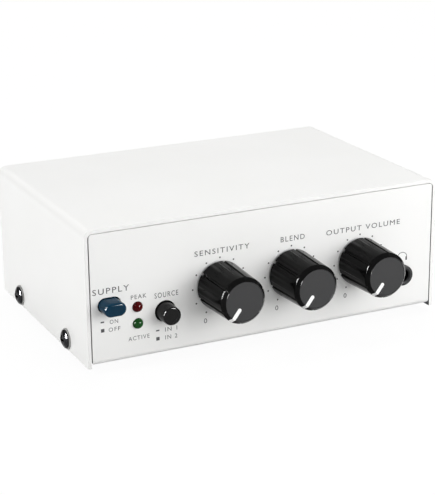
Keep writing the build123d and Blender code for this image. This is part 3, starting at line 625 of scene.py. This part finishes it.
# The same ABS from a spark eroded mould face: the fine grain spreads the light to an even dark grey.
satin_black = moulded_finish("grained_black_abs", "2c2c2d",
                             {"Roughness": 0.5, "IOR": 1.45, "Specular IOR Level": 0.15},
                             grain=0.18, depth=0.02, strength=0.35)

# White resin poured into the mould's slot: dense, opaque and half matt.
pointer_white = moulded_finish("white_filled_resin", "fbfbfa", {"Roughness": 0.4},
                               grain=0.4, depth=0.02, strength=0.2)

# The edge runs from the side over the rounded shoulder to the rim of the face.
knob_edge = (bend((5.81, knob_end - 1.5), 0.8, 2, 40, 6)
             + [(face_radius + 0.07, knob_end - 0.09), (face_radius, knob_end)])
knob_side = ([(skirt_radius - 0.35, knob_gap), (skirt_radius, knob_gap + 0.35)] + knob_edge
             + [(face_radius - 0.15, knob_end), (face_radius - 0.2, knob_end - face_depth),
                (0.001, knob_end - face_depth)])
knob_inside = [(0.001, hub_end), (bore_radius, hub_end), (bore_radius, hub_start), (hub_radius, hub_start),
               (hub_radius, hub_end), (hollow_radius, hub_end), (hollow_radius, knob_gap)]
knob = turn("knob", knob_inside + knob_side, 128)
rib = block("rib", (hub_radius - 0.1, -rib_half_width, hub_start),
            (hollow_radius + 0.1, rib_half_width, hub_end + 0.1))
for step in range(4):
    combine(knob, put(rib, "knob_rib", (0, 0, 0), (0, 0, radians(45 + 90 * step))), "UNION")
bpy.data.objects.remove(rib)
combine(knob, block("flat", (-2.8, bore_flat, hub_start), (2.8, 3.3, hub_end + 0.1)), "UNION")

# Each groove is a round bottomed trough that runs straight down the tapered side.
groove = block("groove", (knob_radius + 0.12, -groove_radius, 0),
               (skirt_radius + beyond, groove_radius, knob_end + beyond))
bpy.ops.mesh.primitive_cylinder_add(vertices=32, radius=groove_radius * MM, depth=(knob_end + 2) * MM,
                                    location=Vector((knob_radius + 0.12, 0, knob_end / 2)) * MM)
combine(groove, settle("groove_floor"), "UNION")
for step in range(6):
    combine(knob, put(groove, "knob_groove", (0, 0, 0), (0, 0, radians(60 * step))), "DIFFERENCE")
bpy.data.objects.remove(groove)


def pointer_slot():
    """The long shape with a rounded inner end that the pointer fills."""
    slot = block("slot", (-pointer_radius, pointer_start, slot_floor),
                 (pointer_radius, 7.5, knob_end + beyond))
    bpy.ops.mesh.primitive_cylinder_add(vertices=48, radius=pointer_radius * MM, depth=2.2 * MM,
                                        location=(0, pointer_start * MM, (slot_floor + 1.1) * MM))
    combine(slot, settle("slot_end"), "UNION")
    return slot


pointer = turn("pointer", [(0.001, hub_end), (knob_radius, hub_end)] + knob_edge + [(0.001, knob_end)], 128)
combine(pointer, pointer_slot(), "INTERSECT")
combine(knob, pointer_slot(), "DIFFERENCE")
soften(knob, 0.07, 25)
soften(pointer, 0.03, 25)
coat(knob, gloss_black, satin_black)
for face in knob.data.polygons:
    face.material_index = int(face.normal.z > 0.98 and face.center.z > (knob_end - 0.1) * MM
                              and face.center.xy.length < (face_radius - 0.18) * MM)
coat(pointer, pointer_white)

for (x, z), name in zip(knob_places, knob_names):
    at_low_end = (Matrix.Rotation(pi / 2, 3, "X") @ Matrix.Rotation(radians(pointer_turn), 3, "Z")).to_euler()
    turned_knob = put(knob, f"{name}_knob_cap", (x, front, z), at_low_end)
    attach(turned_knob, f"{name}_knob")
    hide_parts(f"knob_{name}")
    inlay = put(pointer, f"{name}_knob_pointer", (x, front, z), at_low_end)
    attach(inlay, f"{name}_knob")
    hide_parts(f"pointer_{name}")
bpy.data.objects.remove(knob)
bpy.data.objects.remove(pointer)


# ---------------------------------------------------------------- panel print
# Scales, words and signs are screen printed on the panel in one thin layer of grey ink.
# The words are generic ones for what each control does.
def clouded_finish(name, dark, pale, settings, patch, detail=2.0):
    """A finish that wanders between two near colours over patches, given by their width in millimetres."""
    finish, tree, surface, place = new_finish(name)
    patches = add_node(tree, "ShaderNodeTexNoise",
                       {"Vector": place, "Scale": 1 / (patch * MM), "Detail": detail})
    tone = add_node(tree, "ShaderNodeMix",
                    {"data_type": "RGBA", 0: patches.outputs[0], 6: linear(dark), 7: linear(pale)})
    add_node(tree, "ShaderNodeBsdfPrincipled", {"Base Color": tone.outputs[2], **settings}, surface)
    return finish


# Screen ink dries half matt, a little patchy where the mesh let less through.
ink = clouded_finish("grey_screen_ink", "3c3c3e", "545456", {"Roughness": 0.55}, patch=0.15)
ink_depth = 0.03
dot_radius = 0.25
dot_ring = 8.25
dot_ring_drop = 0.35
first_dot, dot_step = -149.25, 30
print_layers = []


def printed(name, x, z, width, height):
    """Fits a flat drawing to its printed size, and lays it on the panel."""
    piece = settle(name)
    across, up = zip(*[point.co.xy for point in piece.data.vertices])
    low = Vector((min(across), min(up), 0))
    high = Vector((max(across), max(up), 0))
    middle, size = (low + high) / 2, high - low
    bpy.ops.transform.translate(value=-middle)
    settle(name)
    bpy.ops.transform.resize(value=(width * MM / size.x, height * MM / size.y, 1), center_override=(0, 0, 0))
    move(piece, name, (x, front, z), OUT_OF_FRONT)
    coat(piece, ink)
    print_layers.append(piece)


def words(text, x, z, width, height):
    """A printed word, centred on its place."""
    bpy.ops.object.text_add()
    writing = bpy.context.object
    writing.data.body = text
    writing.data.size = 2 * MM
    writing.data.space_character = 1.25
    writing.data.extrude = ink_depth / 2 * MM
    writing.data.resolution_u = 3
    bpy.ops.object.convert(target="MESH")
    printed("word_" + text.replace(" ", "_").lower(), x, z, width, height)


def mark(name, x, z, width, height):
    """A printed bar or square."""
    bpy.ops.mesh.primitive_cube_add(size=1, scale=(MM, MM, ink_depth * MM))
    printed(name, x, z, width, height)


def join(pieces, name):
    """Makes one piece of several."""
    only(pieces[0])
    for piece in pieces:
        piece.select_set(True)
    bpy.ops.object.join()
    return settle(name)


# Each word with the control that it belongs to, how far it stands to the right of it and
# above it, its width and its height.
for text, (x, z), right, above, width, height in (
        ("SUPPLY", power_place, 0.5, 4.1, 10.5, 1.65),
        ("PEAK", lamp_places[1], 0.4, 2.9, 4.5, 1.2),
        ("ACTIVE", lamp_places[0], 0.2, -4.1, 6.2, 1.2),
        ("SOURCE", selector_place, 0.4, 4.8, 7.0, 1.5),
        ("SENSITIVITY", knob_places[0], 0.8, 9.95, 16.7, 1.5),
        ("BLEND", knob_places[1], 0.5, 10.1, 7.6, 1.5),
        ("OUTPUT VOLUME", knob_places[2], 1.2, 9.9, 24.3, 1.5),
        ("ON", power_place, 1.1, -4.9, 2.4, 1.15),
        ("OFF", power_place, 1.2, -7.1, 3.4, 1.15),
        ("IN 1", selector_place, 1.6, -5.4, 3.6, 1.2),
        ("IN 2", selector_place, 1.6, -7.7, 3.6, 1.2)):
    words(text, x + right, z + above, width, height)
for (x, z), left, below in ((power_place, 2.2, 4.6), (selector_place, 2.4, 5.3)):
    mark("sign_pressed", x - left, z - below, 1.0, 0.4)
    mark("sign_released", x - left, z - below - 2.4, 1.0, 1.0)
for x, z in knob_places:
    words("0", x - 4.5, z - 9.9, 0.95, 1.4)
    words("10", x + 4.7, z - 9.9, 1.8, 1.4)
    for step in range(11):
        angle = radians(first_dot + dot_step * step)
        bpy.ops.mesh.primitive_cylinder_add(vertices=16, radius=dot_radius * MM, depth=ink_depth * MM)
        printed("dot", x + dot_ring * sin(angle), z - dot_ring_drop + dot_ring * cos(angle),
                2 * dot_radius, 2 * dot_radius)

# The sign for headphones: a half ring with an ear pad at each end.
bpy.ops.mesh.primitive_cylinder_add(vertices=48, radius=1.7 * MM, depth=ink_depth * MM)
band = settle("band")
drill(band, 1.5, (0, 0, 0), "Z", 1, 48)
combine(band, block("lower_half", (-3, -3, -1), (3, 0, 1)), "DIFFERENCE")
for side in (-1, 1):
    pad = block("pad", (side * 1.45 - 0.25, -1.2, -ink_depth / 2), (side * 1.45 + 0.25, 0.05, ink_depth / 2))
    combine(band, pad, "UNION")
printed("sign_headphones", phones_place[0] - 0.1, phones_place[1] + 5.7, 3.3, 2.6)
panel_print = join(print_layers, "panel_print")
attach(panel_print, "chassis")

# ---------------------------------------------------------------- push buttons
# Two moulded caps on the plungers of their switches: a long one in petrol blue for the
# power, and a round black one for the source. Both have soft front edges.

# Blue green ABS from a polished mould: deep in colour, with hard bright lines along its edges.
petrol = clouded_finish("polished_petrol_abs", "032b3e", "042f46",
                        {"Roughness": 0.12, "IOR": 1.5, "Specular IOR Level": 0.1}, patch=1.5, detail=1.0)
cap_reach = 4.9
power_cap_width, power_cap_height = 6.2, 3.8
power_cap = pill("power_cap", power_cap_width, power_cap_height, front - cap_reach, front + 1.8)
round_edges(power_cap, 0.75, 6, lambda middle, run: middle.y < front - cap_reach + 0.01)
bpy.ops.object.shade_smooth_by_angle(angle=radians(35))
power_cap = move(power_cap, "power_cap", (power_place[0], 0, power_place[1]))
coat(power_cap, petrol)
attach(power_cap, "power_push")
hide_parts("power_button")

# Black ABS from a vapour blasted mould: half glossy, so that its edge shows as a pale ring.
half_gloss_black = moulded_finish("half_gloss_black_abs", "0e0e0e",
                                  {"Roughness": 0.16, "IOR": 1.45, "Specular IOR Level": 0.17},
                                  grain=0.5, depth=0.01, strength=0.1)
selector_cap = turn("selector_cap", [(0.001, -1.8), (2.8, -1.8)] + bend((2.15, 4.45), 0.45, 5, 85, 8)
                    + [(0.001, cap_reach)], 96)
bpy.ops.object.shade_smooth_by_angle(angle=radians(35))
selector_cap = move(selector_cap, "selector_cap", (selector_place[0], front, selector_place[1]), OUT_OF_FRONT)
coat(selector_cap, half_gloss_black)
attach(selector_cap, "selector_push")
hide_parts("selector_button")

# ---------------------------------------------------------------- lamps
# Two 3 mm lamps of coloured epoxy, domed in front and with a flange behind, in the holes
# of the panel. Unlit, so their colour is deep.

# Cast epoxy is smooth and clear: the dye looks dark, and the lamps of the room stand in the dome.
lens_radius = 1.5
for name, (x, z), shade in (("signal_lamp", lamp_places[0], "18481d"),
                            ("peak_lamp", lamp_places[1], "4a0507")):
    epoxy, tree, surface, place = new_finish("epoxy_" + name)
    haze = add_node(tree, "ShaderNodeTexNoise", {"Vector": place, "Scale": 1 / (0.8 * MM), "Detail": 2.0})
    haze_rough = add_node(tree, "ShaderNodeMapRange",
                          {"Value": haze.outputs[0], "To Min": 0.08, "To Max": 0.16})
    add_node(tree, "ShaderNodeBsdfPrincipled",
             {"Base Color": linear(shade), "Roughness": haze_rough.outputs[0], "IOR": 1.52,
              "Specular IOR Level": 0.06}, surface)
    lens = turn(name + "_lens", [(0.001, -4.0), (1.9, -4.0), (1.9, -3.0), (lens_radius, -3.0)]
                + bend((0, -0.2), lens_radius, 0, 81, 9) + [(0.001, 1.3)], 64)
    bpy.ops.object.shade_smooth_by_angle(angle=radians(35))
    lens = move(lens, name + "_lens", (x, front, z), OUT_OF_FRONT)
    coat(lens, epoxy)
    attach(lens, "chassis")
    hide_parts(name)

# ---------------------------------------------------------------- headphone socket
# A moulded black 3.5 mm socket on the board. Its collar stands out of the panel, with a
# wide cone that leads the plug in.
plug_bore, collar_radius = 1.8, 3.05
sleeve_end = -10.8
body_bore, body_bore_depth = 2.4, 11.8
phones_spot = (phones_place[0], front, phones_place[1])
phones = turn("phones", [(plug_bore, sleeve_end), (plug_bore, 0.7), (2.05, 1.1), (2.2, 1.2)]
              + bend((2.75, 0.9), 0.3, 90, 0, 5)
              + [(collar_radius, -sheet), (collar_radius, sleeve_end), (plug_bore, sleeve_end)], 96)
phones = move(phones, "headphone_collar", phones_spot, OUT_OF_FRONT)
phones_body = block("phones_body", (phones_low.x, front + sheet, phones_low.z), phones_high)
drill(phones_body, body_bore, phones_spot, "Y", 2 * body_bore_depth, 96)
combine(phones, phones_body, "UNION")
soften(phones, 0.06, 30)
coat(phones, gloss_black, satin_black)
for face in phones.data.polygons:
    face.material_index = int(face.center.y < (front - 0.85) * MM and face.normal.y < -0.2)
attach(phones, "chassis")
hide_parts("headphone_socket")

# ---------------------------------------------------------------- phono sockets
# Two pairs on the rear panel, each in a moulded block on the board. Each socket has a
# drawn brass barrel, nickel plated, round a moulded insulator, red for the right channel
# and white for the left, with a plated centre contact.
OUT_OF_REAR = (-pi / 2, 0, 0)

# Bright nickel over brass: a warm mirror with fine drawing marks in it.
nickel = metal_finish("bright_nickel_plate", "d8d6d0", patch=0.5, smoothest=0.10, roughest=0.22)

# Dyed ABS: even in colour, half glossy, with faint flow marks.
insert_colours = {channel: moulded_finish("moulded_" + channel + "_insulator", shade, {"Roughness": 0.35},
                                          grain=0.6, depth=0.02, strength=0.2)
                  for channel, shade in (("right", "a3161b"), ("left", "e8e8e4"))}

barrel = turn("barrel", [(3.7, 0.2), (barrel_radius, 0.2), (barrel_radius, 8.25), (4.0, 8.4), (3.85, 8.4),
                         (3.7, 8.25), (3.7, 0.2)], 96)
soften(barrel, 0.05, 30)
coat(barrel, nickel)
insert = turn("insert", [(2.15, -4.2), (3.65, -4.2), (3.65, 7.7), (2.15, 7.7), (2.15, -4.2)], 96)
soften(insert, 0.08, 30)
contact = turn("contact", [(1.65, -4.2), (2.1, -4.2), (2.1, 6.75), (1.95, 6.9), (1.8, 6.9), (1.65, 6.75),
                           (1.65, -4.2)], 64)
soften(contact, 0.04, 30)
coat(contact, nickel)
shells_middle = middle_of("rca_shells")
for x, z in phono_places:
    use = "phono" if x > shells_middle.x else "output"
    channel = "right" if z < shells_middle.z else "left"
    shell = put(barrel, f"{use}_{channel}_shell", (x, rear, z), OUT_OF_REAR)
    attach(shell, "chassis")
    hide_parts("rca_shells")
    insulator = put(insert, f"{use}_{channel}_insulator", (x, rear, z), OUT_OF_REAR)
    coat(insulator, insert_colours[channel])
    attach(insulator, "chassis")
    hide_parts("rca_insulators_" + channel)
    centre = put(contact, f"{use}_{channel}_contact", (x, rear, z), OUT_OF_REAR)
    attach(centre, "chassis")
    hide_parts("rca_contacts")
for shape in (barrel, insert, contact):
    bpy.data.objects.remove(shape)

# ---------------------------------------------------------------- data socket
# A square socket for a data cable on the board: a shell of folded and plated sheet round
# a moulded insert, whose port has two cut corners and a tongue in its middle.
shell_wall = 0.5
port_half_width, port_half_height, port_depth = 4.225, 3.9, 8.9
tongue_half_width, tongue_half_height = 2.8, 1.6
usb_case = block("usb_case", *span("usb_shell"))
take_faces(usb_case, lambda middle, normal: abs(normal.y) > 0.9)
modify(usb_case, "SOLIDIFY", thickness=shell_wall * MM, offset=-1)
soften(usb_case, 0.1, 30)
coat(usb_case, nickel)
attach(usb_case, "chassis")
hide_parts("usb_shell")

# Black nylon, filled with glass: half matt, with a fine grit that breaks up the lamps in it.
socket_black = moulded_finish("moulded_black_nylon", "1b1b1c", {"Roughness": 0.45, "IOR": 1.53},
                              grain=0.25, depth=0.03, strength=0.3, detail=3.0)
insert_low, insert_high = span("usb_insert")
usb_core = block("usb_core", insert_low, insert_high)
port = block("port", (usb_x - port_half_width, insert_high.y - port_depth, usb_z - port_half_height),
             (usb_x + port_half_width, insert_high.y + 2 * beyond, usb_z + port_half_height))
round_edges(port, 1.6, 1, lambda middle, run: abs(run.y) > 0.9 and middle.z > usb_z)
tongue_root = insert_high.y - port_depth - beyond
tongue = block("tongue", (usb_x - tongue_half_width, tongue_root, usb_z - tongue_half_height),
               (usb_x + tongue_half_width, insert_high.y, usb_z + tongue_half_height))
combine(port, tongue, "DIFFERENCE")
combine(usb_core, port, "DIFFERENCE")
soften(usb_core, 0.08, 30)
coat(usb_core, socket_black)
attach(usb_core, "chassis")
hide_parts("usb_insert")

# ---------------------------------------------------------------- power inlet
# A moulded barrel socket on the board, its collar flush with the rear panel, and the
# plated pin that stands in its well.
inlet_collar_radius = 4.1
well_radius, well_depth = 3.15, 9.6
pin_radius = 1.05
inlet_spot = (inlet_place[0], rear, inlet_place[1])
inlet_low, inlet_high = span("power_inlet")
inlet = block("inlet", inlet_low, (inlet_high.x, rear - sheet, inlet_high.z))
collar = turn("collar", [(0.001, -2), (inlet_collar_radius, -2), (inlet_collar_radius, 0), (0.001, 0)], 96)
combine(inlet, move(collar, "collar", inlet_spot, OUT_OF_REAR), "UNION")
drill(inlet, well_radius, inlet_spot, "Y", 2 * well_depth, 96)
soften(inlet, 0.12, 30)
coat(inlet, socket_black)
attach(inlet, "chassis")
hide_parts("power_inlet")

inlet_pin = turn("inlet_pin", [(0.001, -well_depth), (pin_radius, -well_depth), (pin_radius, -1.7),
                               (0.98, -1.45), (0.8, -1.27), (0.55, -1.2), (0.001, -1.2)], 48)
bpy.ops.object.shade_smooth_by_angle(angle=radians(40))
inlet_pin = move(inlet_pin, "inlet_pin", inlet_spot, OUT_OF_REAR)
coat(inlet_pin, nickel)
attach(inlet_pin, "chassis")
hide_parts("power_inlet_pin")

# ---------------------------------------------------------------- earth post
# A threaded brass post, gilt, held in the rear panel by its head and a lock nut. A loose
# washer and a knurled thumb nut clamp the earth lead of a turntable on it.

# Thin gold over turned brass: warm, bright, a little duller where the tool left its marks.
gilt = metal_finish("gilt_brass", "d9b45c", patch=0.4, smoothest=0.15, roughest=0.3, detail=2.0)

thread_pitch = 0.7
thread_start = 2.6
plain_length = 3.2
crest, root = 2.0, 1.82
post_spot = (post_place[0], rear, post_place[1])
post_low, post_high = span("earth_post")
tip = post_high.y - rear
head = post_low.y - rear
post = turn("post", [(0.001, head), (3.3, head), (3.6, head + 0.3), (3.6, -sheet), (crest, -sheet)]
            + [point for start in [thread_start + thread_pitch * groove
                                   for groove in range(int((tip - plain_length) / thread_pitch))]
               for point in ((crest, start), (root, start + thread_pitch / 2))]
            + [(crest, tip - 0.6), (1.6, tip), (0.001, tip)], 64)
bpy.ops.object.shade_smooth_by_angle(angle=radians(30))
post = move(post, "post", post_spot, OUT_OF_REAR)
coat(post, gilt)
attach(post, "chassis")
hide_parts("earth_post")

# The lock nut is a hexagon with turned corners and a plain bore.
nut_flats = 7.0
nut_height = 2.2
nut_bore = 2.05
nut_corner = nut_flats / 3 ** 0.5
bpy.ops.mesh.primitive_cylinder_add(vertices=6, radius=nut_corner * MM, depth=nut_height * MM,
                                    location=(0, 0, nut_height / 2 * MM))
lock_nut = settle("lock_nut")
combine(lock_nut, turn("corners", [(0.001, 0), (nut_corner - 0.45, 0), (nut_corner + 0.1, 0.35),
                                   (nut_corner + 0.1, nut_height - 0.35), (nut_corner - 0.45, nut_height),
                                   (0.001, nut_height)], 64), "INTERSECT")
drill(lock_nut, nut_bore, (0, 0, nut_height / 2), "Z", 2 * nut_height)
soften(lock_nut, 0.05, 30)
lock_nut = move(lock_nut, "lock_nut", post_spot, OUT_OF_REAR)
coat(lock_nut, gilt)
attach(lock_nut, "chassis")
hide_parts("earth_lock_nut")

loose_washer = turn("loose_washer", [(2.2, 2.3), (4.4, 2.3), (4.4, 2.9), (2.2, 2.9), (2.2, 2.3)], 96)
soften(loose_washer, 0.08, 30)
loose_washer = move(loose_washer, "loose_washer", post_spot, OUT_OF_REAR)
coat(loose_washer, gilt)
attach(loose_washer, "post_washer")
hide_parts("earth_washer")

# The knurl is cut by a ring of eight-sided teeth.
rim_radius = 4.6
tooth_count = 24
thumb_nut = turn("thumb_nut", [(nut_bore, 3.0), (4.2, 3.0), (rim_radius, 3.4), (rim_radius, 6.2), (4.2, 6.6),
                               (3.3, 6.7), (3.3, 7.9), (3.0, 8.2), (nut_bore, 8.2), (nut_bore, 3.0)], 144)
knurl = turn("knurl", [(0.001, 2.5), (0.35, 2.5), (0.35, 6.6), (0.001, 6.6)], 8)
teeth = []
for step in range(tooth_count):
    angle = radians(360 / tooth_count * step)
    teeth.append(put(knurl, "tooth", (rim_radius * cos(angle), rim_radius * sin(angle), 0)))
bpy.data.objects.remove(knurl)
combine(thumb_nut, join(teeth, "teeth"), "DIFFERENCE")
soften(thumb_nut, 0.05, 30)
thumb_nut = move(thumb_nut, "thumb_nut", post_spot, OUT_OF_REAR)
coat(thumb_nut, gilt)
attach(thumb_nut, "post_thumb_nut")
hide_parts("earth_thumb_nut")


# ---------------------------------------------------------------- controls behind the panel
# Potentiometers, switches and lamp holder stand on the board and reach through the panel.
# Their pieces keep the shape of the frame, and get the finish of the real ones.
def dress(finish, *nodes):
    """Gives pieces of the frame their finish."""
    for name in nodes:
        coat(frame["nodes"][name], finish)


# Zinc on pressed steel: bright grey, in small crystals that shine one by one.
zinc, tree, surface, place = new_finish("zinc_plated_steel")
spangle = add_node(tree, "ShaderNodeTexVoronoi", {"Vector": place, "Scale": 1 / (0.8 * MM)})
spangle_rough = add_node(tree, "ShaderNodeMapRange",
                         {"Value": spangle.outputs[0], "To Min": 0.25, "To Max": 0.42})
add_node(tree, "ShaderNodeBsdfPrincipled",
         {"Base Color": linear("b9bcbe"), "Metallic": 1.0, "Roughness": spangle_rough.outputs[0]}, surface)
dress(zinc, "pot_case_input", "pot_case_mix", "pot_case_output", "pot_washers", "pot_nuts",
      "pot_shaft_input", "pot_shaft_mix", "pot_shaft_output", "board_standoffs", "board_screws",
      "lamp_leads", "crystal")
dress(socket_black, "lamp_holder", "power_switch", "selector_switch", "phono_block", "output_block")
dress(insert_colours["left"], "power_plunger", "selector_plunger")

# ---------------------------------------------------------------- circuit board
# Glass cloth laminate with a green lacquer, and its parts: wafers of the potentiometers
# in brown paper laminate, black moulded chips and sleeved capacitors.

# The lacquer is glossy and deep, paler where the cloth comes close under it.
laminate = clouded_finish("green_lacquered_laminate", "0f3b22", "184c2e", {"Roughness": 0.3}, patch=0.7)
dress(laminate, "circuit_board")

# Paper soaked in resin: brown and half matt, with its fibres showing as darker flecks.
wafer_brown = clouded_finish("brown_paper_laminate", "5a3a20", "6d4a2b", {"Roughness": 0.55},
                             patch=0.4, detail=3.0)
dress(wafer_brown, "pot_wafers")

# Epoxy filled with sand and moulded round the chip: dark grey, dry and finely pitted.
epoxy_black = moulded_finish("black_epoxy_moulding", "202021", {"Roughness": 0.55},
                             grain=0.2, depth=0.03, strength=0.3)
dress(epoxy_black, "amplifier_chips", "converter_chip")

# Shrunk plastic film: smooth and glossy, its blue a little uneven where it drew together.
sleeve = clouded_finish("blue_shrink_sleeve", "182850", "20325f", {"Roughness": 0.3}, patch=1.2)
dress(sleeve, "capacitors")

# ---------------------------------------------------------------- shine
# Two strong lamps that only show in the polished plastics, the lenses and the screws:
# they draw the bright lines along the shoulders and edges, and leave the paint alone.
shiny_names = ("polished", "half_gloss", "epoxy_", "bright_black")
shiny = bpy.data.collections.new("shiny_pieces")
for piece in bpy.data.objects:
    finishes = piece.data.materials[:] if piece.type == "MESH" else []
    if any(finish.name.startswith(shiny_names) for finish in finishes if finish):
        shiny.objects.link(piece)
for name, spot, width, height, watts in (("gloss_left", (-1.00, 0.02, 0.41), 0.45, 0.78, 300.0),
                                         ("gloss_right", (0.46, -0.80, 0.38), 0.30, 0.36, 55.0)):
    add_lamp(name, spot, width, height, watts, True).light_linking.receiver_collection = shiny
